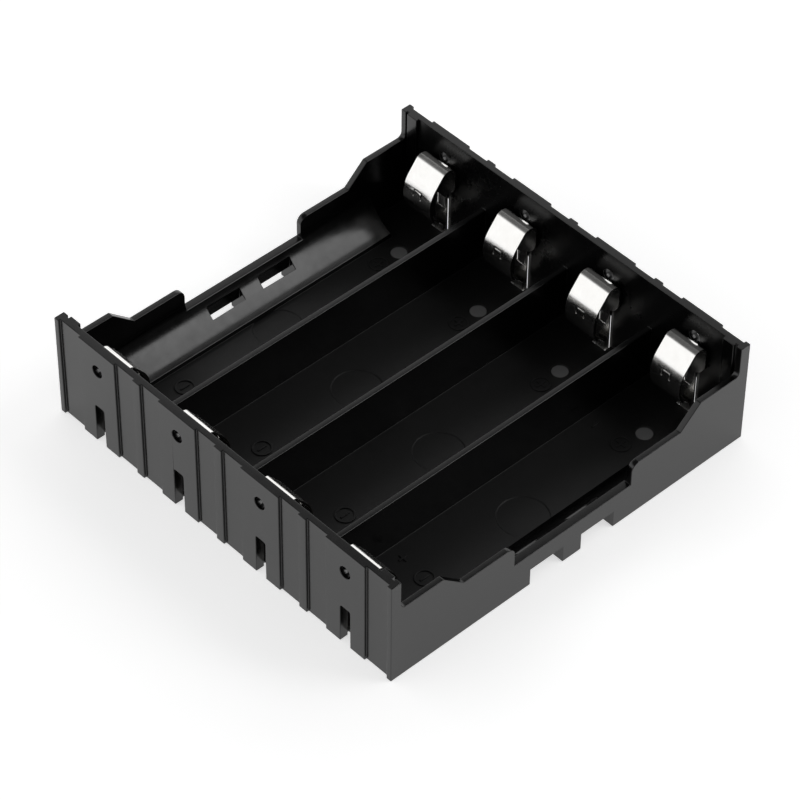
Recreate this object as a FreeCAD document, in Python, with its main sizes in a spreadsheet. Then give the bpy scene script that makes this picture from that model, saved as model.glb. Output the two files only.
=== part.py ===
import FreeCAD, Part
import Sketcher
import math
import os

# Open holder for cylindrical cells that lie side by side.
# Millimetres. X runs across the bays, Y along the cells from the near end wall to the far one,
# Z up. The origin is the middle of the underside.

SIZES = {
    # bays, each for one cell, with room for a contact at both ends
    "bay_count": 4,
    "cell_diameter": 18.0,
    "cell_length": 65.0,
    "bay_clearance": 0.2,
    "spring_room": 4.1,
    "partition_wall": 1.0,
    "partition_height": 11.2,
    # tray
    "body_height": 20.6,
    "floor_thickness": 1.2,
    "side_wall": 1.1,
    "end_wall": 1.15,
    # outside ribs and panels on the end walls
    "rib_depth": 0.45,
    "panel_width": 8.7,
    "rib_width": 1.76,
    "corner_rib_width": 1.0,
    # stepped top edge of the side walls, from the end posts to the dip in the middle
    "post_reach": 0.4,
    "post_fillet": 1.0,
    "shoulder_height": 14.8,
    "shoulder_length": 8.7,
    "slope_length": 4.2,
    "rail_height": 11.0,
    "dip_length": 25.2,
    "dip_height": 6.8,
    "dip_round": 1.5,
    # curved cradles along the side walls, around the cells in the outer bays
    "cradle_clearance": 0.65,
    "cradle_axis_height": 11.0,
    "cradle_inner_offset": 3.6,
    "cradle_length": 56.0,
    # notches in the foot of the side walls, with slots up through the cradles
    "side_notch_length": 7.0,
    "side_notch_height": 3.3,
    "side_notch_depth": 3.7,
    "side_slot_width": 1.5,
    "side_tooth_length": 4.0,
    # notches in the foot of the end walls, one for each contact
    "end_notch_width": 2.2,
    "end_notch_height": 8.0,
    "end_notch_round": 0.4,
    "leg_clearance": 0.1,
    "tail_clearance": 0.3,
    # holes behind the contacts
    "pin_hole_diameter": 2.3,
    "pin_hole_height": 16.0,
    # upright ribs in the outer corners
    "gusset_width": 2.3,
    "gusset_gap": 0.5,
    "gusset_reach": 0.6,
    # round marks on the bay floors
    "gate_mark_diameter": 8.6,
    "gate_mark_place": -0.6,
    "ejector_mark_diameter": 3.2,
    "ejector_mark_place": 26.4,
    "mark_depth": 0.12,
    # contact strips
    "strip_thickness": 0.3,
    "strip_width": 6.5,
    "strip_end_height": 0.3,
    "plate_gap": 0.35,
    "plate_foot_height": 9.2,
    "leg_width": 2.8,
    "contact_height": 16.55,
    "hump_radius": 1.7,
    "hump_flat": 0.05,
    "crest_radius": 1.35,
    "leaf_corner_reach": 8.05,
    "leaf_height": 10.0,
    "leaf_radius": 5.65,
    "leaf_foot_height": 6.3,
    "foot_corner_radius": 1.2,
    "tail_reach": 0.95,
    "tail_top_height": 2.6,
    "tail_bend_radius": 0.35,
    "tail_width": 2.0,
    "lance_width": 1.9,
    "lance_length": 1.4,
    "lance_slit": 0.22,
    "lance_top_height": 12.4,
    "barb_width": 1.44,
    "barb_length": 1.9,
    "barb_slit": 0.25,
    "barb_lean": 0.5,
    "barb_clearance": 0.1,
}


def make_sheet(doc):
    """Puts every driving dimension in the spreadsheet, with its name as the cell's alias."""
    sheet = doc.addObject("Spreadsheet::Sheet", "Sizes")
    for row, (name, value) in enumerate(SIZES.items(), start=1):
        sheet.set("A%d" % row, name)
        sheet.set("B%d" % row, str(value))
        sheet.setAlias("B%d" % row, name)
    doc.recompute()
    return sheet


# Formulas over the sheet that more than one feature uses
BAY_PITCH = "(Sizes.cell_diameter + Sizes.bay_clearance + Sizes.partition_wall)"
BAY_LENGTH = "(Sizes.cell_length + 2 * Sizes.spring_room)"
CAVITY_WIDTH = "(Sizes.bay_count * " + BAY_PITCH + " - Sizes.partition_wall)"
BODY_WIDTH = "(" + CAVITY_WIDTH + " + 2 * Sizes.side_wall)"
BODY_LENGTH = "(" + BAY_LENGTH + " + 2 * Sizes.end_wall + 2 * Sizes.rib_depth)"
BAY_SPAN = "((Sizes.bay_count - 1) * " + BAY_PITCH + ")"
FIRST_BAY = "(-" + BAY_SPAN + " / 2)"
PARTITION_SPAN = "((Sizes.bay_count - 2) * " + BAY_PITCH + ")"
FIRST_PARTITION = "(-" + PARTITION_SPAN + " / 2)"
CRADLE_RADIUS = "(Sizes.cell_diameter / 2 + Sizes.cradle_clearance)"
BARB_TIP = "(Sizes.end_notch_height - Sizes.barb_clearance)"
BARB_FOOT = "(" + BARB_TIP + " - Sizes.barb_length)"
LEG_REACH = "(Sizes.plate_gap + Sizes.strip_thickness / 2)"
BETWEEN_ENDS = "((" + LEG_REACH + " + Sizes.tail_reach) / 2)"


def origin_plane(body, role):
    """The body's own origin plane with this role, such as XY_Plane."""
    for feature in body.Origin.OriginFeatures:
        if feature.Role == role:
            return feature


def new_sketch(body, name, role, offset="0"):
    """A sketch on one of the body's origin planes, moved along its normal by a formula."""
    sketch = body.newObject("Sketcher::SketchObject", name)
    sketch.AttachmentSupport = [(origin_plane(body, role), "")]
    sketch.MapMode = "FlatFace"
    sketch.setExpression("AttachmentOffset.Base.z", offset)
    return sketch


def pin_point(sketch, edge, end, x_formula, y_formula):
    """Holds one end of an edge at a place given by two formulas."""
    places = (("DistanceX", x_formula), ("DistanceY", y_formula))
    for kind, formula in places:
        value = float(sketch.evalExpression(formula))
        index = sketch.addConstraint(Sketcher.Constraint(kind, -1, 1, edge, end, value))
        sketch.setExpression("Constraints[%d]" % index, formula)


def add_polygon(sketch, corners):
    """A closed outline of straight edges. Each corner is a pair of formulas."""
    points = []
    for x_formula, y_formula in corners:
        x = float(sketch.evalExpression(x_formula))
        y = float(sketch.evalExpression(y_formula))
        points.append(FreeCAD.Vector(x, y, 0))
    first = sketch.GeometryCount
    count = len(points)
    for number, start in enumerate(points):
        sketch.addGeometry(Part.LineSegment(start, points[(number + 1) % count]), False)
    for number in range(count):
        following = first + (number + 1) % count
        sketch.addConstraint(Sketcher.Constraint("Coincident", first + number, 2, following, 1))
    for number, (x_formula, y_formula) in enumerate(corners):
        pin_point(sketch, first + number, 1, x_formula, y_formula)


def add_rectangle(sketch, left, right, bottom, top):
    """A rectangle between four formulas."""
    add_polygon(sketch, [(left, bottom), (right, bottom), (right, top), (left, top)])


def add_circle(sketch, x_formula, y_formula, diameter_formula):
    """A circle with its centre and diameter given by formulas."""
    x = float(sketch.evalExpression(x_formula))
    y = float(sketch.evalExpression(y_formula))
    diameter = float(sketch.evalExpression(diameter_formula))
    centre = FreeCAD.Vector(x, y, 0)
    circle = sketch.addGeometry(Part.Circle(centre, FreeCAD.Vector(0, 0, 1), diameter / 2), False)
    pin_point(sketch, circle, 3, x_formula, y_formula)
    index = sketch.addConstraint(Sketcher.Constraint("Diameter", circle, diameter))
    sketch.setExpression("Constraints[%d]" % index, diameter_formula)


def pad(body, name, sketch, length, side="One side", backward=False):
    """Adds the sketch's outline, pulled to a length given by a formula."""
    feature = body.newObject("PartDesign::Pad", name)
    feature.Profile = sketch
    feature.SideType = side
    feature.Reversed = backward
    feature.setExpression("Length", length)
    body.Document.recompute()
    return feature


def pocket(body, name, sketch, length, side="One side", backward=False):
    """Cuts the sketch's outline to a depth given by a formula, and checks that it cut."""
    before = body.Shape.Volume
    feature = body.newObject("PartDesign::Pocket", name)
    feature.Profile = sketch
    feature.SideType = side
    feature.Reversed = backward
    feature.setExpression("Length", length)
    body.Document.recompute()
    if body.Shape.Volume >= before:
        raise RuntimeError(name + " cuts nothing")
    return feature


def repeat_across(body, feature, sketch, count, span):
    """Repeats a feature along X: count copies over a span, both given by formulas."""
    pattern = body.newObject("PartDesign::LinearPattern", feature.Name + "_row")
    pattern.Originals = [feature]
    pattern.Direction = (sketch, ["H_Axis"])
    pattern.setExpression("Length", span)
    pattern.setExpression("Occurrences", count)
    body.Tip = pattern
    body.Document.recompute()
    return pattern


def fillet_edges(body, name, radius, chosen):
    """Rounds every edge of the body that the function picks."""
    feature = body.newObject("PartDesign::Fillet", name)
    names = []
    for number, edge in enumerate(body.Shape.Edges, start=1):
        if chosen(edge):
            names.append("Edge%d" % number)
    feature.Base = (body.Group[-2], names)
    feature.setExpression("Radius", radius)
    body.Document.recompute()
    return feature


def runs_across_at(y, z):
    """A test for straight edges that run along X at a place |Y|, Z."""
    def chosen(edge):
        ends = [vertex.Point for vertex in edge.Vertexes]
        if len(ends) != 2 or abs(ends[0].x - ends[1].x) < 0.1:
            return False
        return all(abs(abs(point.y) - y) < 0.01 and abs(point.z - z) < 0.01 for point in ends)
    return chosen


def runs_along_at(places, z):
    """A test for straight edges that run along Y at one of the places X, at a height Z."""
    def chosen(edge):
        ends = [vertex.Point for vertex in edge.Vertexes]
        if len(ends) != 2 or abs(ends[0].y - ends[1].y) < 0.1:
            return False
        in_line = abs(ends[0].x - ends[1].x) < 0.01
        at_height = all(abs(point.z - z) < 0.01 for point in ends)
        return in_line and at_height and any(abs(ends[0].x - x) < 0.01 for x in places)
    return chosen


# Housing

def add_outer_block(body):
    """The block that becomes the tray, with the proud ribs and panels of its end walls."""
    half_core = "(" + BAY_LENGTH + " / 2 + Sizes.end_wall)"
    half_length = BODY_LENGTH + " / 2"
    half_width = BODY_WIDTH + " / 2"
    core = new_sketch(body, "core_plan", "XY_Plane")
    add_rectangle(core, "-" + half_width, half_width, "-" + half_core, half_core)
    pad(body, "core", core, "Sizes.body_height")
    panel = new_sketch(body, "panel_plan", "XY_Plane")
    add_rectangle(panel, FIRST_BAY + " - Sizes.panel_width / 2", FIRST_BAY + " + Sizes.panel_width / 2",
                  "-" + half_length, half_length)
    panels = pad(body, "panels", panel, "Sizes.body_height")
    repeat_across(body, panels, panel, "Sizes.bay_count", BAY_SPAN)
    rib = new_sketch(body, "rib_plan", "XY_Plane")
    add_rectangle(rib, FIRST_PARTITION + " - Sizes.rib_width / 2",
                  FIRST_PARTITION + " + Sizes.rib_width / 2", "-" + half_length, half_length)
    ribs = pad(body, "ribs", rib, "Sizes.body_height")
    repeat_across(body, ribs, rib, "Sizes.bay_count - 1", PARTITION_SPAN)
    corners = new_sketch(body, "corner_rib_plan", "XY_Plane")
    inner = half_width + " - Sizes.corner_rib_width"
    add_rectangle(corners, "-" + half_width, "-(" + inner + ")", "-" + half_length, half_length)
    add_rectangle(corners, inner, half_width, "-" + half_length, half_length)
    pad(body, "corner_ribs", corners, "Sizes.body_height")


def hollow_out(body):
    """The cavity that all the bays share."""
    plan = new_sketch(body, "cavity_plan", "XY_Plane", "Sizes.floor_thickness")
    add_rectangle(plan, "-" + CAVITY_WIDTH + " / 2", CAVITY_WIDTH + " / 2",
                  "-" + BAY_LENGTH + " / 2", BAY_LENGTH + " / 2")
    pocket(body, "cavity", plan, "Sizes.body_height", backward=True)


def add_cradles(body):
    """The curved cradle along each side wall, an arc around the axis of a cell in the outer bay."""
    radius = float(body.evalExpression(CRADLE_RADIUS))
    axis_x = float(body.evalExpression("-" + FIRST_BAY))
    axis_z = float(body.evalExpression("Sizes.cradle_axis_height"))
    inner_x = axis_x + float(body.evalExpression("Sizes.cradle_inner_offset"))
    wall_x = float(body.evalExpression(CAVITY_WIDTH + " / 2"))
    buried_x = float(body.evalExpression(BODY_WIDTH + " / 2 - Sizes.side_wall / 2"))
    profile = new_sketch(body, "cradle_profile", "XZ_Plane")
    for side in (-1, 1):
        add_cradle_outline(profile, side, radius, axis_x, axis_z, inner_x, wall_x, buried_x)
    pad(body, "cradles", profile, "Sizes.cradle_length", side="Symmetric")


def add_cradle_outline(sketch, side, radius, axis_x, axis_z, inner_x, wall_x, buried_x):
    """One cradle's section, from the floor's underside to its arc."""
    def on_arc(x):
        return FreeCAD.Vector(side * x, axis_z - math.sqrt(radius ** 2 - (x - axis_x) ** 2), 0)
    low = on_arc(inner_x)
    high = on_arc(wall_x)
    middle = on_arc((inner_x + wall_x) / 2)
    foot = FreeCAD.Vector(side * inner_x, 0, 0)
    buried_foot = FreeCAD.Vector(side * buried_x, 0, 0)
    buried_top = FreeCAD.Vector(side * buried_x, high.y, 0)
    sketch.addGeometry(Part.LineSegment(foot, buried_foot), False)
    sketch.addGeometry(Part.LineSegment(buried_foot, buried_top), False)
    sketch.addGeometry(Part.LineSegment(buried_top, high), False)
    sketch.addGeometry(Part.Arc(high, middle, low), False)
    sketch.addGeometry(Part.LineSegment(low, foot), False)


def cut_side_profile(body):
    """The stepped top edge of both side walls: posts, shoulders, slopes, rails and a dip."""
    profile = new_sketch(body, "side_profile", "YZ_Plane")
    post = "(" + BAY_LENGTH + " / 2 - Sizes.post_reach)"
    shoulder = "(" + post + " - Sizes.shoulder_length)"
    rail = "(" + shoulder + " - Sizes.slope_length)"
    dip = "(Sizes.dip_length / 2)"
    above = "(Sizes.body_height + 1)"
    half = [(post, above), (post, "Sizes.shoulder_height"), (shoulder, "Sizes.shoulder_height"),
            (rail, "Sizes.rail_height"), (dip, "Sizes.rail_height"), (dip, "Sizes.dip_height")]
    other_half = [("-" + y, z) for y, z in reversed(half)]
    add_polygon(profile, half + other_half)
    pocket(body, "side_steps", profile, BODY_WIDTH + " + 2", side="Symmetric")
    dip_y = float(body.evalExpression(dip))
    post_y = float(body.evalExpression(post))
    rail_z = float(body.evalExpression("Sizes.rail_height"))
    shoulder_z = float(body.evalExpression("Sizes.shoulder_height"))
    fillet_edges(body, "dip_corners", "Sizes.dip_round", runs_across_at(dip_y, rail_z))
    fillet_edges(body, "post_feet", "Sizes.post_fillet", runs_across_at(post_y, shoulder_z))


def add_partitions(body):
    """The low walls between the bays."""
    plan = new_sketch(body, "partition_plan", "XY_Plane")
    half_length = "(" + BAY_LENGTH + " / 2 + Sizes.end_wall / 2)"
    add_rectangle(plan, FIRST_PARTITION + " - Sizes.partition_wall / 2",
                  FIRST_PARTITION + " + Sizes.partition_wall / 2", "-" + half_length, half_length)
    first = pad(body, "partitions", plan, "Sizes.partition_height")
    repeat_across(body, first, plan, "Sizes.bay_count - 1", PARTITION_SPAN)


def add_gussets(body):
    """The upright ribs on the end walls, close to the four outer corners."""
    plan = new_sketch(body, "gusset_plan", "XY_Plane")
    outer = "(" + CAVITY_WIDTH + " / 2 - Sizes.gusset_gap)"
    inner = "(" + outer + " - Sizes.gusset_width)"
    face = "(" + BAY_LENGTH + " / 2 - Sizes.gusset_reach)"
    buried = "(" + BAY_LENGTH + " / 2 + Sizes.end_wall / 2)"
    add_rectangle(plan, inner, outer, face, buried)
    add_rectangle(plan, "-" + outer, "-" + inner, face, buried)
    add_rectangle(plan, inner, outer, "-" + buried, "-" + face)
    add_rectangle(plan, "-" + outer, "-" + inner, "-" + buried, "-" + face)
    pad(body, "gussets", plan, "Sizes.body_height")


def cut_side_notches(body):
    """The notches in the foot of the side walls and the slots that open them into the bays."""
    half_width = "(" + BODY_WIDTH + " / 2)"
    start = "(Sizes.side_tooth_length / 2)"
    stop = "(Sizes.side_tooth_length / 2 + Sizes.side_notch_length)"
    inner = "(" + half_width + " - Sizes.side_notch_depth)"
    slot = "(" + inner + " + Sizes.side_slot_width)"
    notches = new_sketch(body, "side_notch_plan", "XY_Plane")
    slots = new_sketch(body, "side_slot_plan", "XY_Plane")
    for low, high in ((start, stop), ("-" + stop, "-" + start)):
        add_rectangle(notches, inner, half_width + " + 1", low, high)
        add_rectangle(notches, "-" + half_width + " - 1", "-" + inner, low, high)
        add_rectangle(slots, inner, slot, low, high)
        add_rectangle(slots, "-" + slot, "-" + inner, low, high)
    pocket(body, "side_notches", notches, "Sizes.side_notch_height", backward=True)
    pocket(body, "side_slots", slots, "Sizes.body_height", backward=True)


def cut_end_notches(body):
    """The notch in the foot of the end walls at both ends of each bay, for the contact's barb."""
    half_width = "(Sizes.end_notch_width / 2)"
    face = "(" + BAY_LENGTH + " / 2)"
    outer = "(" + BODY_LENGTH + " / 2 + 1)"
    notch = new_sketch(body, "end_notch_plan", "XY_Plane")
    left = FIRST_BAY + " - " + half_width
    right = FIRST_BAY + " + " + half_width
    add_rectangle(notch, left, right, face, outer)
    add_rectangle(notch, left, right, "-" + outer, "-" + face)
    notches = pocket(body, "end_notches", notch, "Sizes.end_notch_height", backward=True)
    repeat_across(body, notches, notch, "Sizes.bay_count", BAY_SPAN)
    half = float(body.evalExpression(half_width))
    first = float(body.evalExpression(FIRST_BAY))
    pitch = float(body.evalExpression(BAY_PITCH))
    count = int(body.evalExpression("Sizes.bay_count"))
    places = [first + number * pitch + side * half for number in range(count) for side in (-1, 1)]
    top = float(body.evalExpression("Sizes.end_notch_height"))
    fillet_edges(body, "notch_corners", "Sizes.end_notch_round", runs_along_at(places, top))


def cut_floor_slots(body):
    """The slot in the floor at both ends of each bay, where the contact's leg and tail stand."""
    half_width = "(Sizes.leg_width / 2 + Sizes.leg_clearance)"
    slot_reach = "(Sizes.tail_reach + Sizes.strip_thickness / 2 + Sizes.tail_clearance)"
    face = "(" + BAY_LENGTH + " / 2)"
    inner = "(" + BAY_LENGTH + " / 2 - " + slot_reach + ")"
    slot = new_sketch(body, "floor_slot_plan", "XY_Plane")
    left = FIRST_BAY + " - " + half_width
    right = FIRST_BAY + " + " + half_width
    add_rectangle(slot, left, right, inner, face)
    add_rectangle(slot, left, right, "-" + face, "-" + inner)
    slots = pocket(body, "floor_slots", slot, "Sizes.floor_thickness", backward=True)
    repeat_across(body, slots, slot, "Sizes.bay_count", BAY_SPAN)


def drill_pin_holes(body):
    """The round hole through both end walls, behind the top of each contact."""
    face = new_sketch(body, "pin_hole_face", "XZ_Plane")
    add_circle(face, FIRST_BAY, "Sizes.pin_hole_height", "Sizes.pin_hole_diameter")
    first = pocket(body, "pin_holes", face, BODY_LENGTH + " + 2", side="Symmetric")
    repeat_across(body, first, face, "Sizes.bay_count", BAY_SPAN)


def press_floor_marks(body):
    """The shallow round marks that the mould leaves on each bay's floor."""
    plan = new_sketch(body, "floor_mark_plan", "XY_Plane", "Sizes.floor_thickness")
    add_circle(plan, FIRST_BAY, "Sizes.gate_mark_place", "Sizes.gate_mark_diameter")
    add_circle(plan, FIRST_BAY, "Sizes.ejector_mark_place", "Sizes.ejector_mark_diameter")
    first = pocket(body, "floor_marks", plan, "Sizes.mark_depth")
    repeat_across(body, first, plan, "Sizes.bay_count", BAY_SPAN)


def make_housing(doc):
    """The whole moulding, as one body."""
    body = doc.addObject("PartDesign::Body", "housing")
    body.Label = "housing"
    add_outer_block(body)
    hollow_out(body)
    add_cradles(body)
    cut_side_profile(body)
    add_partitions(body)
    add_gussets(body)
    cut_side_notches(body)
    cut_end_notches(body)
    cut_floor_slots(body)
    drill_pin_holes(body)
    press_floor_marks(body)
    return body


# Contacts

def unit(start, end):
    """The direction from one point to another."""
    return (end - start).normalize()


def offset_corners(path, distance):
    """The corners of a path moved sideways, to the left of its direction."""
    moved = []
    for number, point in enumerate(path):
        before = unit(path[max(number - 1, 0)], path[max(number - 1, 0) + 1])
        after = unit(path[min(number, len(path) - 2)], path[min(number, len(path) - 2) + 1])
        normal = FreeCAD.Vector(-before.y - after.y, before.x + after.x, 0)
        normal.normalize()
        share = normal.x * -before.y + normal.y * before.x
        moved.append(point + normal * (distance / share))
    return moved


def rounded_edges(corners, radii):
    """Lines through the corners, with an arc of the given radius in each inner corner."""
    edges = []
    start = corners[0]
    for number in range(1, len(corners) - 1):
        corner = corners[number]
        before = unit(corner, corners[number - 1])
        after = unit(corner, corners[number + 1])
        half_angle = before.getAngle(after) / 2
        reach = radii[number] / math.tan(half_angle)
        bisector = (before + after).normalize()
        middle_reach = radii[number] / math.sin(half_angle) - radii[number]
        arc_start = corner + before * reach
        arc_end = corner + after * reach
        edges.append(Part.LineSegment(start, arc_start))
        edges.append(Part.Arc(arc_start, corner + bisector * middle_reach, arc_end))
        start = arc_end
    edges.append(Part.LineSegment(start, corners[-1]))
    return edges


def strip_outline(path, radii, thickness):
    """The closed outline of a folded strip: both faces of the path and its two ends."""
    sides = []
    for sign in (1, -1):
        face_radii = []
        for number, radius in enumerate(radii):
            if radius:
                before = path[number] - path[number - 1]
                after = path[number + 1] - path[number]
                turn = math.copysign(1, before.x * after.y - before.y * after.x)
                radius = radius - sign * turn * thickness / 2
            face_radii.append(radius)
        sides.append(rounded_edges(offset_corners(path, sign * thickness / 2), face_radii))
    left, right = sides
    start_cap = Part.LineSegment(right[0].StartPoint, left[0].StartPoint)
    end_cap = Part.LineSegment(left[-1].EndPoint, right[-1].EndPoint)
    return left + [end_cap] + right + [start_cap]


def crest_corner(sheet, leg, top):
    """Where the flat top of the hump and the leaf's upper line would meet without the crest's bend."""
    centre = FreeCAD.Vector(leg + sheet.hump_radius + sheet.hump_flat, top - sheet.crest_radius, 0)
    to_centre = centre - FreeCAD.Vector(sheet.leaf_corner_reach, sheet.leaf_height, 0)
    leaf_angle = math.atan2(to_centre.y, to_centre.x) - math.asin(sheet.crest_radius / to_centre.Length)
    return sheet.leaf_corner_reach + (top - sheet.leaf_height) / math.tan(leaf_angle), top


def contact_path(sheet):
    """The middle line of a contact seen from the side, from the leg's end to the tail's end.

    First value: distance from the end wall into the bay. Second value: height.
    """
    half = sheet.strip_thickness / 2
    leg = sheet.plate_gap + half
    top = sheet.contact_height - half
    path = [
        (leg, sheet.strip_end_height),
        (leg, top),
        crest_corner(sheet, leg, top),
        (sheet.leaf_corner_reach, sheet.leaf_height),
        (sheet.tail_reach, sheet.tail_top_height),
        (sheet.tail_reach, sheet.strip_end_height),
    ]
    radii = [0, sheet.hump_radius, sheet.crest_radius, sheet.leaf_radius, sheet.tail_bend_radius, 0]
    return [FreeCAD.Vector(reach, height, 0) for reach, height in path], radii


def add_closed_edges(sketch, points_and_arcs):
    """Adds a chain of lines and arcs to a sketch."""
    for edge in points_and_arcs:
        sketch.addGeometry(edge, False)


def trim_back_plate(body, sheet):
    """Narrows the back plate to the leg with a round shoulder on each side."""
    half_strip = sheet.strip_width / 2
    half_leg = sheet.leg_width / 2
    centre = FreeCAD.Vector(0, sheet.plate_foot_height + half_strip, 0)
    shoulder = centre.y - math.sqrt(half_strip ** 2 - half_leg ** 2)
    below = sheet.strip_end_height - 1
    outside = half_strip + 1
    face = new_sketch(body, "plate_outline", "XZ_Plane")
    angle = (math.acos(half_leg / half_strip)) / 2
    for side in (-1, 1):
        def at(x, z):
            return FreeCAD.Vector(side * x, z, 0)
        middle = at(half_strip * math.cos(angle), centre.y - half_strip * math.sin(angle))
        add_closed_edges(face, [
            Part.LineSegment(at(half_leg, below), at(half_leg, shoulder)),
            Part.Arc(at(half_leg, shoulder), middle, at(half_strip, centre.y)),
            Part.LineSegment(at(half_strip, centre.y), at(outside, centre.y)),
            Part.LineSegment(at(outside, centre.y), at(outside, below)),
            Part.LineSegment(at(outside, below), at(half_leg, below)),
        ])
    pocket(body, "plate_trim", face, BETWEEN_ENDS)


def trim_leaf_foot(body, sheet):
    """Narrows the foot of the leaf to the tail, with a round corner on each side."""
    half_strip = sheet.strip_width / 2
    half_tail = sheet.tail_width / 2
    radius = sheet.foot_corner_radius
    foot = sheet.leaf_foot_height
    below = sheet.strip_end_height - 1
    outside = half_strip + 1
    diagonal = radius * (1 - math.sqrt(0.5))
    face = new_sketch(body, "leaf_outline", "XZ_Plane", "-" + BETWEEN_ENDS)
    for side in (-1, 1):
        def at(x, z):
            return FreeCAD.Vector(side * x, z, 0)
        add_closed_edges(face, [
            Part.LineSegment(at(half_tail, below), at(half_tail, foot)),
            Part.LineSegment(at(half_tail, foot), at(half_strip - radius, foot)),
            Part.Arc(at(half_strip - radius, foot), at(half_strip - diagonal, foot + diagonal),
                     at(half_strip, foot + radius)),
            Part.LineSegment(at(half_strip, foot + radius), at(outside, foot + radius)),
            Part.LineSegment(at(outside, foot + radius), at(outside, below)),
            Part.LineSegment(at(outside, below), at(half_tail, below)),
        ])
    pocket(body, "leaf_trim", face, "Sizes.leaf_corner_reach")


def cut_lance(body):
    """The three-sided slit that frees a small tongue in the middle of the leaf."""
    face = new_sketch(body, "lance_outline", "XZ_Plane", "-" + BETWEEN_ENDS)
    outer = "(Sizes.lance_width / 2)"
    inner = "(Sizes.lance_width / 2 - Sizes.lance_slit)"
    top = "Sizes.lance_top_height"
    under_top = "(Sizes.lance_top_height - Sizes.lance_slit)"
    bottom = "(Sizes.lance_top_height - Sizes.lance_length)"
    add_polygon(face, [("-" + outer, bottom), ("-" + inner, bottom), ("-" + inner, under_top),
                       (inner, under_top), (inner, bottom), (outer, bottom), (outer, top),
                       ("-" + outer, top)])
    pocket(body, "lance", face, "Sizes.leaf_corner_reach")


def add_barb(body):
    """The tongue of the leg that springs into the wall's notch and locks under its top edge."""
    window = new_sketch(body, "barb_window", "XZ_Plane")
    half_window = "(Sizes.barb_width / 2 + Sizes.barb_slit)"
    add_rectangle(window, "-" + half_window, half_window, BARB_FOOT, BARB_TIP + " + 2 * Sizes.barb_slit")
    pocket(body, "barb_opening", window, BETWEEN_ENDS)
    profile = new_sketch(body, "barb_profile", "YZ_Plane")
    rear = "Sizes.plate_gap"
    front = "(Sizes.plate_gap + Sizes.strip_thickness)"
    root = "(" + BARB_FOOT + " - Sizes.strip_thickness)"
    add_polygon(profile, [(rear, root), (front, root), (front + " - Sizes.barb_lean", BARB_TIP),
                          (rear + " - Sizes.barb_lean", BARB_TIP)])
    pad(body, "barb", profile, "Sizes.barb_width", side="Symmetric")


def make_contact(doc, sheet, name, number, far):
    """One folded strip. The far contacts are turned round, to face the near ones."""
    body = doc.addObject("PartDesign::Body", name)
    body.Label = name
    path, radii = contact_path(sheet)
    profile = new_sketch(body, "fold_profile", "YZ_Plane")
    add_closed_edges(profile, strip_outline(path, radii, sheet.strip_thickness))
    pad(body, "fold", profile, "Sizes.strip_width", side="Symmetric")
    trim_back_plate(body, sheet)
    trim_leaf_foot(body, sheet)
    cut_lance(body)
    add_barb(body)
    turn = 180 if far else 0
    wall = BAY_LENGTH + " / 2" if far else "-" + BAY_LENGTH + " / 2"
    body.Placement = FreeCAD.Placement(FreeCAD.Vector(), FreeCAD.Rotation(FreeCAD.Vector(0, 0, 1), turn))
    body.setExpression("Placement.Base.x", FIRST_BAY + " + %d * " % number + BAY_PITCH)
    body.setExpression("Placement.Base.y", wall)
    return body


def check_and_export(doc, bodies):
    """Stops at any failed object, then writes one file for each sub-part."""
    doc.recompute()
    for thing in doc.Objects:
        if "Invalid" in thing.State or "Error" in thing.State:
            raise RuntimeError(thing.Name + " failed")
    os.makedirs("parts", exist_ok=True)
    for body in bodies:
        shape = body.Shape
        if shape.isNull() or not shape.isValid() or len(shape.Solids) != 1:
            raise RuntimeError(body.Label + " is not one valid solid")
    for body in bodies:
        body.Shape.exportStep("parts/%s.step" % body.Label)
        box = body.Shape.BoundBox
        print("%s: %.1f mm3, X %.2f to %.2f, Y %.2f to %.2f, Z %.2f to %.2f" % (
            body.Label, body.Shape.Volume, box.XMin, box.XMax, box.YMin, box.YMax, box.ZMin, box.ZMax))


def main():
    doc = FreeCAD.newDocument("cell_holder")
    sheet = make_sheet(doc)
    bodies = [make_housing(doc)]
    for number in range(int(sheet.bay_count)):
        bodies.append(make_contact(doc, sheet, "near_contact_%d" % (number + 1), number, far=False))
        bodies.append(make_contact(doc, sheet, "far_contact_%d" % (number + 1), number, far=True))
    check_and_export(doc, bodies)


main()
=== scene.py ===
import math

import bpy
from mathutils import Matrix, Vector


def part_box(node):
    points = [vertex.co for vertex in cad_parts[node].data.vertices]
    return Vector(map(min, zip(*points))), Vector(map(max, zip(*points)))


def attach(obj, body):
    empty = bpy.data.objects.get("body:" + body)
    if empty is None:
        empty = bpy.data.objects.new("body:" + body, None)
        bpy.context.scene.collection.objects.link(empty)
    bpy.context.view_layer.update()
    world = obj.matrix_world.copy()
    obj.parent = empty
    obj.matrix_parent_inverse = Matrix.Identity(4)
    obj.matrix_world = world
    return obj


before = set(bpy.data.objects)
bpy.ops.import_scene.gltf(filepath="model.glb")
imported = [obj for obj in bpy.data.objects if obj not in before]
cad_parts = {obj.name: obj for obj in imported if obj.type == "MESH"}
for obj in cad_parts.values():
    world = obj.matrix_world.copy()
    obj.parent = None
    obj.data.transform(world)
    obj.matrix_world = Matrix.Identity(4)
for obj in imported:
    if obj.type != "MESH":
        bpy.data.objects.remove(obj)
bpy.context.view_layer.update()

# Open four-bay holder for cylindrical cells: black moulded tray, bright nickel leaf contacts.
# Metres. X runs across the bays, Y along the cells, Z up, as in the frame.

MM = 0.001

# Places on the tray, and on the contacts
BAY_COUNT = 4
BAY_CENTRES = [sum(corner.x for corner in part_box("near_contact_%d" % (bay + 1))) / 2
               for bay in range(BAY_COUNT)]
BAY_PITCH = BAY_CENTRES[1] - BAY_CENTRES[0]
LEG_HALF_WIDTH = 1.4 * MM
FLOOR_TOP = 1.2 * MM
EJECTOR_MARK_Y = 26.4 * MM
EJECTOR_MARK_RADIUS = 1.4 * MM
# Only the end walls lie farther out than this
END_WALL_INNER = 36.0 * MM

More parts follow.
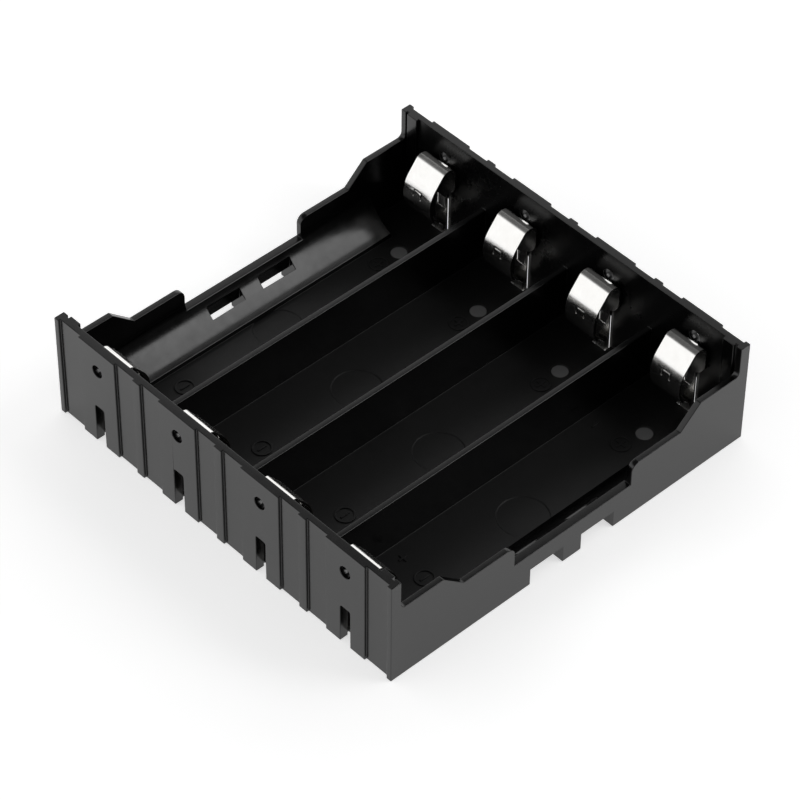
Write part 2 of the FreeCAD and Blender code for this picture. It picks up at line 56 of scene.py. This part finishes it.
# Edge rounding of the moulding and of the stamped strip
MOULD_EDGE = 0.11 * MM
STRIP_EDGE = 0.04 * MM
EDGE_ANGLE = math.radians(32)
EDGE_SEGMENTS = 2
WELD_GAP = 0.001 * MM
FLAT_ANGLE = math.radians(0.5)

# Linear colours
PLASTIC_DARK = (0.0007, 0.0007, 0.0008)
PLASTIC_LIGHT = (0.0012, 0.0012, 0.0013)
# Light grey of the ejector pin discs: painted light, the lit spot seen at each mark
EJECTOR_DISC_PAINTED_LIGHT = (0.19, 0.19, 0.19)
NICKEL_STAINED = (0.80, 0.79, 0.77)
NICKEL_CLEAN = (0.86, 0.855, 0.84)
# Sheared sides: dull bare steel, darkened further as painted shade
NICKEL_SHEARED_AND_SHADE = (0.1, 0.098, 0.094)
# Lower end of each leg, by the end wall: painted shade
NICKEL_FOOT_SHADE = (0.3, 0.295, 0.285)

# Plastic: how much rougher the matt floors are, and the end walls' share of that
MATT_ROUGHNESS = 0.34
END_WALL_SHARE = 0.3

# Polarity signs on the bay floors: rings with a minus or a plus in them, and two small ones
SIGN_HEIGHT = 0.18 * MM
SIGN_SINK = 0.02 * MM
SIGN_LINE = 0.36 * MM
RING_RADIUS = 1.75 * MM
BAR_LENGTH = 1.9 * MM
SMALL_BAR_LENGTH = 1.7 * MM
SIGN_EDGE = 0.05 * MM
RING_CORNERS = 56
RING_MINUS_PLACES = ((-28.6, -20.9), (-9.9, -20.8), (9.8, -20.9), (27.85, -20.8))
RING_PLUS_PLACES = ((-29.0, 22.0), (-9.6, 22.0), (9.7, 22.0), (28.0, 21.9))
SMALL_PLUS_PLACES = ((22.6, -20.5),)
SMALL_MINUS_PLACES = ((22.2, 22.0),)

# Camera
AZIMUTH = math.radians(46.69)
ELEVATION = math.radians(45.006)
ROLL = math.radians(0.606)
DISTANCE = 0.58906
AIM = Vector((2.64, -2.638, 9.0)) * MM
SENSOR = 36.0
LENS = 167.75

# The room's walls are lit up to this height of a direction's Z, and the ceiling is dim
WALL_TOP_LOW = 0.58
WALL_TOP_HIGH = 0.80
WALL_LIGHT = 1.2
CEILING_LIGHT = 0.1
# The wall on the right is darker than the one on the left
RIGHT_WALL_SHARE = 0.3
FLOOR_GLOW = 0.60
# Keeps the studio floor's plane clear of the tray's flat underside
FLOOR_GAP = 0.02 * MM
STUDIO_FLOOR_SIZE = 6.0
FLOOR_COLOUR = (0.8, 0.8, 0.8, 1.0)
WHITE = (1.0, 1.0, 1.0, 1.0)

# Softbox: where it stands, seen from the tray, and which way its long side runs
SOFTBOX_DIRECTION = (0.577, 0.505, 0.642)
SOFTBOX_ALONG = (0.744, 0.0, -0.669)
SOFTBOX_DISTANCE = 1.0
SOFTBOX_WIDTH = 0.24
SOFTBOX_LENGTH = 0.84
SOFTBOX_BRIGHTNESS = 3.2


# Shader helpers

def new_material(name):
    """A material with an empty node tree and its output."""
    material = bpy.data.materials.new(name)
    material.use_nodes = True
    tree = material.node_tree
    tree.nodes.clear()
    output = tree.nodes.new("ShaderNodeOutputMaterial")
    return material, tree, output


def coordinates(tree, kind):
    """One output of a Texture Coordinate node."""
    return tree.nodes.new("ShaderNodeTexCoord").outputs[kind]


def separated(tree, vector):
    """The X, Y and Z outputs of a vector."""
    node = tree.nodes.new("ShaderNodeSeparateXYZ")
    tree.links.new(vector, node.inputs["Vector"])
    return node.outputs


def noise(tree, vector, scale, detail=2.0, roughness=0.5):
    """A noise texture over a vector. The scale is in cells per metre."""
    node = tree.nodes.new("ShaderNodeTexNoise")
    node.inputs["Scale"].default_value = scale
    node.inputs["Detail"].default_value = detail
    node.inputs["Roughness"].default_value = roughness
    tree.links.new(vector, node.inputs["Vector"])
    return node.outputs["Fac"]


def stretched(tree, vector, scales):
    """The vector with each axis scaled by its own factor."""
    node = tree.nodes.new("ShaderNodeMapping")
    node.inputs["Scale"].default_value = scales
    tree.links.new(vector, node.inputs["Vector"])
    return node.outputs["Vector"]


def math_node(tree, operation, first, second=0.0):
    """A Math node. Each input is a number or a socket."""
    node = tree.nodes.new("ShaderNodeMath")
    node.operation = operation
    for socket, value in zip(node.inputs, (first, second)):
        if isinstance(value, (int, float)):
            socket.default_value = value
        else:
            tree.links.new(value, socket)
    return node.outputs["Value"]


def remap(tree, value, low, high, new_low, new_high, smooth=False):
    """A value taken from one range to another, held at both ends."""
    node = tree.nodes.new("ShaderNodeMapRange")
    if smooth:
        node.interpolation_type = "SMOOTHSTEP"
    limits = {"From Min": low, "From Max": high, "To Min": new_low, "To Max": new_high}
    for name, number in limits.items():
        node.inputs[name].default_value = number
    tree.links.new(value, node.inputs["Value"])
    return node.outputs["Result"]


def colour_mix(tree, factor, first, second):
    """A mix of two colours."""
    node = tree.nodes.new("ShaderNodeMix")
    node.data_type = "RGBA"
    tree.links.new(factor, node.inputs[0])
    for socket, value in ((node.inputs[6], first), (node.inputs[7], second)):
        if isinstance(value, tuple):
            socket.default_value = (*value, 1.0)
        else:
            tree.links.new(value, socket)
    return node.outputs[2]


def bump(tree, height, strength, distance, normal=None):
    """A Bump node over a height, on top of another normal if one is given."""
    node = tree.nodes.new("ShaderNodeBump")
    node.inputs["Strength"].default_value = strength
    node.inputs["Distance"].default_value = distance
    tree.links.new(height, node.inputs["Height"])
    if normal is not None:
        tree.links.new(normal, node.inputs["Normal"])
    return node.outputs["Normal"]


def disc_mask(tree, x, y, radius, soft):
    """1 inside an upright round column at x, y and 0 outside it."""
    centre = tree.nodes.new("ShaderNodeCombineXYZ")
    centre.inputs["X"].default_value = x
    centre.inputs["Y"].default_value = y
    flat = tree.nodes.new("ShaderNodeVectorMath")
    flat.operation = "MULTIPLY"
    flat.inputs[1].default_value = (1.0, 1.0, 0.0)
    tree.links.new(coordinates(tree, "Object"), flat.inputs[0])
    gap = tree.nodes.new("ShaderNodeVectorMath")
    gap.operation = "DISTANCE"
    tree.links.new(flat.outputs["Vector"], gap.inputs[0])
    tree.links.new(centre.outputs["Vector"], gap.inputs[1])
    return remap(tree, gap.outputs["Value"], radius - soft, radius + soft, 1.0, 0.0)


# Materials

def moulded_plastic():
    """Black moulded plastic: satin walls, eroded matt floors and end walls, smooth ejector pin discs
    whose light grey is painted light.
    """
    material, tree, output = new_material("moulded_black_plastic")
    place = coordinates(tree, "Object")
    shader = tree.nodes.new("ShaderNodeBsdfPrincipled")
    shader.inputs["IOR"].default_value = 1.5
    shader.distribution = "GGX"
    pins = None
    for x in BAY_CENTRES:
        mask = disc_mask(tree, x, EJECTOR_MARK_Y, EJECTOR_MARK_RADIUS, 0.05 * MM)
        pins = mask if pins is None else math_node(tree, "MAXIMUM", pins, mask)
    split = separated(tree, place)
    height = split["Z"]
    floor = math_node(tree, "MULTIPLY", remap(tree, height, 0.9 * MM, 1.0 * MM, 0.0, 1.0),
                      remap(tree, height, 1.4 * MM, 1.5 * MM, 1.0, 0.0))
    facing = separated(tree, coordinates(tree, "Normal"))
    level = remap(tree, facing["Z"], 0.9, 0.97, 0.0, 1.0)
    pins = math_node(tree, "MULTIPLY", math_node(tree, "MULTIPLY", pins, floor), level)
    rising = remap(tree, facing["Z"], 0.1, 0.3, 0.0, 1.0)
    matt = math_node(tree, "MULTIPLY", math_node(tree, "MULTIPLY", floor, rising),
                     math_node(tree, "SUBTRACT", 1.0, pins))
    # The inner faces of both end walls point towards the middle of the tray
    inward = math_node(tree, "MULTIPLY", split["Y"], facing["Y"])
    inward = math_node(tree, "LESS_THAN", inward, -0.7 * END_WALL_INNER)
    past = math_node(tree, "GREATER_THAN", math_node(tree, "ABSOLUTE", split["Y"]), END_WALL_INNER)
    end_face = math_node(tree, "MULTIPLY", inward, past)
    matt = math_node(tree, "MAXIMUM", matt, math_node(tree, "MULTIPLY", end_face, END_WALL_SHARE))

    cloud = noise(tree, place, 90.0, 4.0, 0.6)
    tone = remap(tree, cloud, 0.35, 0.65, 0.0, 1.0)
    base = colour_mix(tree, tone, PLASTIC_DARK, PLASTIC_LIGHT)
    # The ejector pin discs get a light grey base: painted light
    base = colour_mix(tree, pins, base, EJECTOR_DISC_PAINTED_LIGHT)
    tree.links.new(base, shader.inputs["Base Color"])

    skin = noise(tree, place, 700.0, 3.0, 0.6)
    rough = remap(tree, skin, 0.3, 0.7, 0.16, 0.21)
    rough = math_node(tree, "ADD", rough, remap(tree, cloud, 0.35, 0.65, -0.02, 0.03))
    rough = math_node(tree, "ADD", rough, math_node(tree, "MULTIPLY", matt, MATT_ROUGHNESS))
    tree.links.new(rough, shader.inputs["Roughness"])

    grain = noise(tree, place, 6500.0, 2.0, 0.6)
    flow = noise(tree, stretched(tree, place, (1.0, 0.35, 1.0)), 160.0, 3.0, 0.5)
    normal = bump(tree, flow, 0.2, 0.00006)
    normal = bump(tree, grain, 0.05, 0.000012, normal)
    tree.links.new(normal, shader.inputs["Normal"])
    tree.links.new(shader.outputs["BSDF"], output.inputs["Surface"])
    return material


def nickel_plate():
    """Bright nickel on a rolled spring strip: fine rolling lines, faint stains.

    The sheared sides are bare and dull, and their dark colour is partly painted shade. The lower end of
    each leg, by the end wall, is darkened as painted shade and made a little rougher.
    """
    material, tree, output = new_material("bright_nickel_strip")
    place = coordinates(tree, "Object")
    shader = tree.nodes.new("ShaderNodeBsdfPrincipled")
    shader.inputs["Metallic"].default_value = 1.0
    lines = noise(tree, stretched(tree, place, (1.0, 0.03, 0.03)), 9000.0, 2.0, 0.6)
    cloud = noise(tree, place, 420.0, 4.0, 0.65)
    tone = remap(tree, cloud, 0.3, 0.7, 0.0, 1.0)
    colour = colour_mix(tree, tone, NICKEL_STAINED, NICKEL_CLEAN)
    facing = separated(tree, coordinates(tree, "Normal"))
    split = separated(tree, place)
    across = math_node(tree, "MODULO", math_node(tree, "ADD", split["X"], 2 * BAY_PITCH), BAY_PITCH)
    across = math_node(tree, "ABSOLUTE", math_node(tree, "SUBTRACT", across, BAY_PITCH / 2))
    rim = math_node(tree, "GREATER_THAN", across, LEG_HALF_WIDTH - 1.2 * STRIP_EDGE)
    sheared = remap(tree, math_node(tree, "ABSOLUTE", facing["X"]), 0.15, 0.45, 0.0, 1.0)
    sheared = math_node(tree, "MULTIPLY", sheared, rim)
    # Sheared sides darker: partly bare steel, partly painted shade
    colour = colour_mix(tree, sheared, colour, NICKEL_SHEARED_AND_SHADE)
    # Painted shade: the lower end of each leg, by the end wall, is darkened
    outer = remap(tree, math_node(tree, "ABSOLUTE", split["Y"]), 34.6 * MM, 35.2 * MM, 0.0, 1.0)
    foot = math_node(tree, "MULTIPLY", outer, remap(tree, split["Z"], 4.5 * MM, 6.0 * MM, 1.0, 0.0))
    colour = colour_mix(tree, foot, colour, NICKEL_FOOT_SHADE)
    tree.links.new(colour, shader.inputs["Base Color"])
    rough = math_node(tree, "ADD", remap(tree, lines, 0.3, 0.7, 0.15, 0.20),
                      remap(tree, cloud, 0.3, 0.7, -0.02, 0.05))
    rough = math_node(tree, "ADD", rough, math_node(tree, "MULTIPLY", sheared, 0.2))
    rough = math_node(tree, "ADD", rough, math_node(tree, "MULTIPLY", foot, 0.1))
    tree.links.new(rough, shader.inputs["Roughness"])
    normal = bump(tree, lines, 0.04, 0.000006)
    normal = bump(tree, cloud, 0.03, 0.00002, normal)
    tree.links.new(normal, shader.inputs["Normal"])
    tree.links.new(shader.outputs["BSDF"], output.inputs["Surface"])
    return material


def paper_white():
    """The studio floor: near white to the camera and in reflections, with soft shadows."""
    material, tree, output = new_material("studio_floor")
    diffuse = tree.nodes.new("ShaderNodeBsdfDiffuse")
    diffuse.inputs["Color"].default_value = FLOOR_COLOUR
    glow = tree.nodes.new("ShaderNodeEmission")
    glow.inputs["Color"].default_value = WHITE
    path = tree.nodes.new("ShaderNodeLightPath")
    seen = math_node(tree, "MAXIMUM", path.outputs["Is Camera Ray"], path.outputs["Is Glossy Ray"])
    seen = math_node(tree, "MAXIMUM", seen, path.outputs["Is Transmission Ray"])
    tree.links.new(math_node(tree, "MULTIPLY", seen, FLOOR_GLOW), glow.inputs["Strength"])
    both = tree.nodes.new("ShaderNodeAddShader")
    tree.links.new(diffuse.outputs["BSDF"], both.inputs[0])
    tree.links.new(glow.outputs["Emission"], both.inputs[1])
    tree.links.new(both.outputs["Shader"], output.inputs["Surface"])
    return material


# Carried-over nodes

def round_edges(piece, width):
    """A Bevel modifier on the sharp edges."""
    rounding = piece.modifiers.new("rounding", "BEVEL")
    rounding.width = width
    rounding.segments = EDGE_SEGMENTS
    rounding.limit_method = "ANGLE"
    rounding.angle_limit = EDGE_ANGLE
    return rounding


def dress_node(node, material, edge):
    """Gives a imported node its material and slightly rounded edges."""
    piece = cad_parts[node]
    for slot in piece.material_slots:
        slot.material = material
    weld = piece.modifiers.new("weld", "WELD")
    weld.merge_threshold = WELD_GAP
    flatten = piece.modifiers.new("flatten", "DECIMATE")
    flatten.decimate_type = "DISSOLVE"
    flatten.angle_limit = FLAT_ANGLE
    # The clamp would shrink every edge to suit the smallest one
    round_edges(piece, edge).use_clamp_overlap = False
    shading = piece.modifiers.new("shading", "WEIGHTED_NORMAL")
    shading.mode = "FACE_AREA"
    shading.keep_sharp = False


# New pieces

def deselect_all():
    """Leaves nothing selected, so that an operator acts only on what is made next."""
    bpy.ops.object.select_all(action="DESELECT")


def finish_piece(piece, material, name):
    """Names a piece, applies its place, gives it its material and seats it on the part."""
    piece.name = name
    piece.data.name = name
    deselect_all()
    piece.select_set(True)
    bpy.context.view_layer.objects.active = piece
    bpy.ops.object.transform_apply(location=True, rotation=True, scale=True)
    piece.data.materials.clear()
    piece.data.materials.append(material)
    bpy.ops.object.shade_smooth_by_angle(angle=math.radians(30))
    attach(piece, "root")


def solid_from_faces(height):
    """Thickens the flat faces of the mesh in edit mode upwards into a closed solid."""
    bpy.ops.mesh.select_all(action="SELECT")
    bpy.ops.mesh.extrude_region_move(TRANSFORM_OT_translate={"value": (0.0, 0.0, height)})
    bpy.ops.mesh.select_all(action="SELECT")
    bpy.ops.mesh.normals_make_consistent(inside=False)


def make_ring(name):
    """A flat raised ring."""
    deselect_all()
    bpy.ops.mesh.primitive_circle_add(vertices=RING_CORNERS, radius=RING_RADIUS, fill_type="NGON")
    ring = bpy.context.object
    ring.name = name
    bpy.ops.object.mode_set(mode="EDIT")
    bpy.ops.mesh.select_all(action="SELECT")
    bpy.ops.mesh.inset(thickness=SIGN_LINE)
    bpy.ops.mesh.delete(type="FACE")
    solid_from_faces(SIGN_HEIGHT)
    bpy.ops.object.mode_set(mode="OBJECT")
    return ring


def make_bars(name, length, crossed):
    """A raised minus, or a plus when crossed: a small square with an arm drawn out of each side."""
    deselect_all()
    bpy.ops.mesh.primitive_plane_add(size=SIGN_LINE)
    bars = bpy.context.object
    bars.name = name
    reach = (length - SIGN_LINE) / 2
    ways = [Vector((0.0, 1.0, 0.0)), Vector((0.0, -1.0, 0.0))]
    if crossed:
        ways += [Vector((1.0, 0.0, 0.0)), Vector((-1.0, 0.0, 0.0))]
    for way in ways:
        bpy.ops.object.mode_set(mode="EDIT")
        bpy.ops.mesh.select_all(action="DESELECT")
        bpy.ops.mesh.select_mode(type="EDGE")
        bpy.ops.object.mode_set(mode="OBJECT")
        # The side of the middle square that lies this way
        points = bars.data.vertices
        for edge in bars.data.edges:
            ends = [points[index].co for index in edge.vertices]
            near = all(max(abs(end.x), abs(end.y)) < 0.51 * SIGN_LINE for end in ends)
            edge.select = near and all(end.dot(way) > 0.49 * SIGN_LINE for end in ends)
        bpy.ops.object.mode_set(mode="EDIT")
        bpy.ops.mesh.extrude_region_move(TRANSFORM_OT_translate={"value": way * reach})
        bpy.ops.object.mode_set(mode="OBJECT")
    bpy.ops.object.mode_set(mode="EDIT")
    bpy.ops.mesh.select_mode(type="FACE")
    solid_from_faces(SIGN_HEIGHT)
    bpy.ops.object.mode_set(mode="OBJECT")
    return bars


def joined(first, second):
    """Two objects made into one."""
    deselect_all()
    second.select_set(True)
    first.select_set(True)
    bpy.context.view_layer.objects.active = first
    bpy.ops.object.join()
    return first


def place_signs(model, places, material, name):
    """Copies a sign to its places on the bay floors and removes the model."""
    for number, (x, y) in enumerate(places):
        sign = model.copy()
        sign.data = model.data.copy()
        bpy.context.scene.collection.objects.link(sign)
        sign.location = (x * MM, y * MM, FLOOR_TOP - SIGN_SINK)
        finish_piece(sign, material, "%s_%d" % (name, number + 1))
        round_edges(sign, SIGN_EDGE)
    bpy.data.objects.remove(model)


def add_signs(material):
    """All the polarity signs."""
    ring_minus = joined(make_ring("ring_minus"), make_bars("minus", BAR_LENGTH, False))
    place_signs(ring_minus, RING_MINUS_PLACES, material, "ring_minus")
    ring_plus = joined(make_ring("ring_plus"), make_bars("plus", BAR_LENGTH, True))
    place_signs(ring_plus, RING_PLUS_PLACES, material, "ring_plus")
    small_plus = make_bars("small_plus", SMALL_BAR_LENGTH, True)
    place_signs(small_plus, SMALL_PLUS_PLACES, material, "small_plus")
    small_minus = make_bars("small_minus", SMALL_BAR_LENGTH, False)
    place_signs(small_minus, SMALL_MINUS_PLACES, material, "small_minus")


# Stage, lights and camera

def add_floor():
    """A wide plain floor under the tray."""
    deselect_all()
    bpy.ops.mesh.primitive_plane_add(size=STUDIO_FLOOR_SIZE, location=(0.0, 0.0, -FLOOR_GAP))
    floor = bpy.context.object
    floor.name = "studio_floor"
    floor.data.materials.append(paper_white())


def add_softbox(name, direction, along, distance, width, length, brightness):
    """A rectangular area light that faces the tray. Its long side runs along a given direction.

    Brightness 1 is paper white.
    """
    light = bpy.data.lights.new(name, "AREA")
    light.shape = "RECTANGLE"
    light.size = width
    light.size_y = length
    light.energy = brightness * math.pi * width * length
    lamp = bpy.data.objects.new(name, light)
    bpy.context.scene.collection.objects.link(lamp)
    back = Vector(direction).normalized()
    side = Vector(along).cross(back).normalized()
    turn = Matrix((side, back.cross(side), back)).transposed().to_4x4()
    lamp.matrix_world = Matrix.Translation(back * distance) @ turn


def light_studio():
    """A pale room with a dim ceiling, and a strip softbox behind the tray that slopes to the right."""
    world = bpy.data.worlds.new("studio")
    bpy.context.scene.world = world
    world.use_nodes = True
    tree = world.node_tree
    tree.nodes.clear()
    output = tree.nodes.new("ShaderNodeOutputWorld")
    room = tree.nodes.new("ShaderNodeBackground")
    room.inputs["Color"].default_value = WHITE
    split = separated(tree, coordinates(tree, "Generated"))
    side = remap(tree, split["X"], -0.2, 0.5, 1.0, RIGHT_WALL_SHARE, smooth=True)
    extra = WALL_LIGHT - CEILING_LIGHT
    walls = remap(tree, split["Z"], WALL_TOP_LOW, WALL_TOP_HIGH, extra, 0.0, smooth=True)
    walls = math_node(tree, "ADD", math_node(tree, "MULTIPLY", walls, side), CEILING_LIGHT)
    path = tree.nodes.new("ShaderNodeLightPath")
    strength = math_node(tree, "MAXIMUM", path.outputs["Is Camera Ray"], walls)
    tree.links.new(strength, room.inputs["Strength"])
    tree.links.new(room.outputs["Background"], output.inputs["Surface"])
    add_softbox("strip_softbox", SOFTBOX_DIRECTION, SOFTBOX_ALONG, SOFTBOX_DISTANCE,
                SOFTBOX_WIDTH, SOFTBOX_LENGTH, SOFTBOX_BRIGHTNESS)


def add_camera():
    """The camera that took the photograph."""
    back = Vector((math.sin(AZIMUTH) * math.cos(ELEVATION),
                   -math.cos(AZIMUTH) * math.cos(ELEVATION),
                   math.sin(ELEVATION)))
    level_right = Vector((math.cos(AZIMUTH), math.sin(AZIMUTH), 0.0))
    level_up = back.cross(level_right)
    right = level_right * math.cos(ROLL) + level_up * math.sin(ROLL)
    up = level_up * math.cos(ROLL) - level_right * math.sin(ROLL)
    data = bpy.data.cameras.new("camera")
    data.sensor_width = SENSOR
    data.lens = LENS
    camera = bpy.data.objects.new("camera", data)
    bpy.context.scene.collection.objects.link(camera)
    turn = Matrix((right, up, back)).transposed().to_4x4()
    camera.matrix_world = Matrix.Translation(AIM + back * DISTANCE) @ turn
    bpy.context.scene.camera = camera


plastic = moulded_plastic()
nickel = nickel_plate()
dress_node("housing", plastic, MOULD_EDGE)
for end in ("near", "far"):
    for bay in range(BAY_COUNT):
        dress_node("%s_contact_%d" % (end, bay + 1), nickel, STRIP_EDGE)
add_signs(plastic)
add_floor()
light_studio()
add_camera()
bpy.context.scene.view_settings.view_transform = "Standard"
